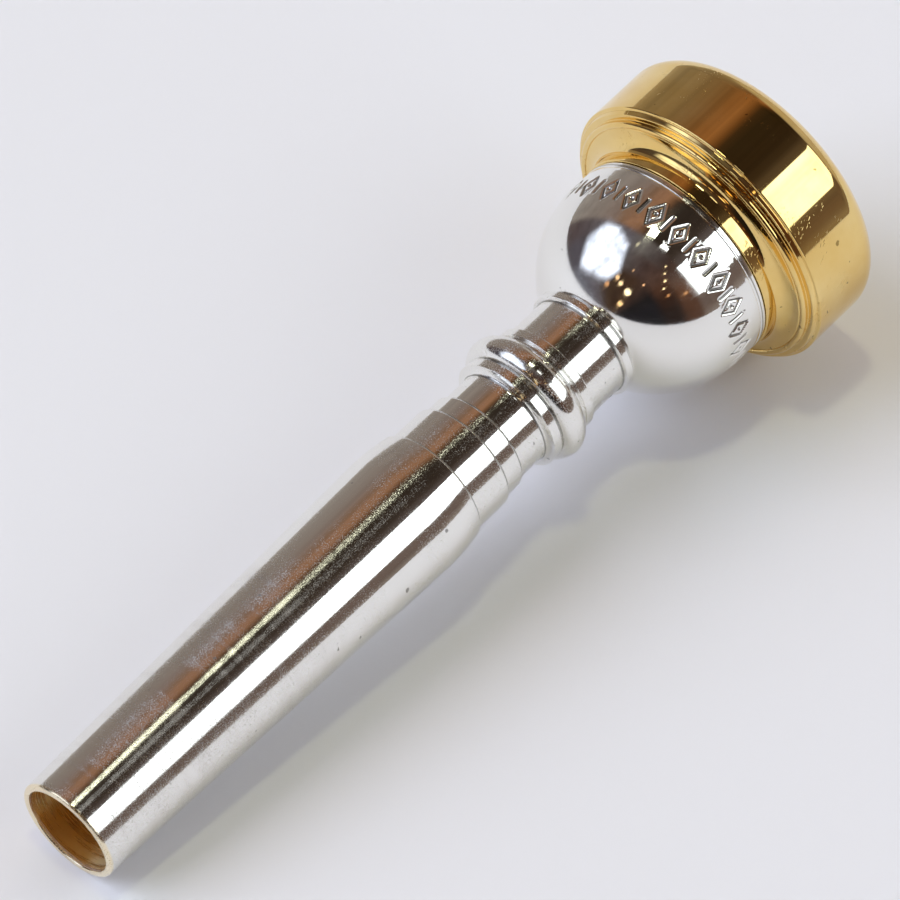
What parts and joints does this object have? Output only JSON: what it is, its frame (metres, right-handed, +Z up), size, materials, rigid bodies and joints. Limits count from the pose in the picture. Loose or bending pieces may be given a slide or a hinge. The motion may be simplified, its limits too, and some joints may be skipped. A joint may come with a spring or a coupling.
{
  "type": "trumpet mouthpiece",
  "caption": "Turned brass trumpet mouthpiece: silver-plated cup, throat and tapered shank with ring turning, and a gold-plated screw rim that comes off along the axis.",
  "frame": {"origin": "on the turning axis at mid-length between the shank's open end and the rim's crest", "axes": "+X along the turning axis towards the rim, -X out of the shank's open end, +Z up with the mouthpiece held level as it sits in an instrument"},
  "size_m": [0.087, 0.027, 0.027],
  "materials": {
    "silver_plate": "turned brass, silver-plated and polished, fine turning lines and light tarnish; bore left as raw brass",
    "gold_plate": "turned brass, gold-plated, mirror polish with small pits and hairlines"
  },
  "bodies": {
    "body": {"cup_and_shank": "silver_plate"},
    "rim": {"screw_rim": "gold_plate"}
  },
  "joints": [
    {"name": "rim_unscrew", "type": "slide", "parent": "body", "child": "rim", "axis": [1, 0, 0], "range_m": [0, 0.01]}
  ]
}
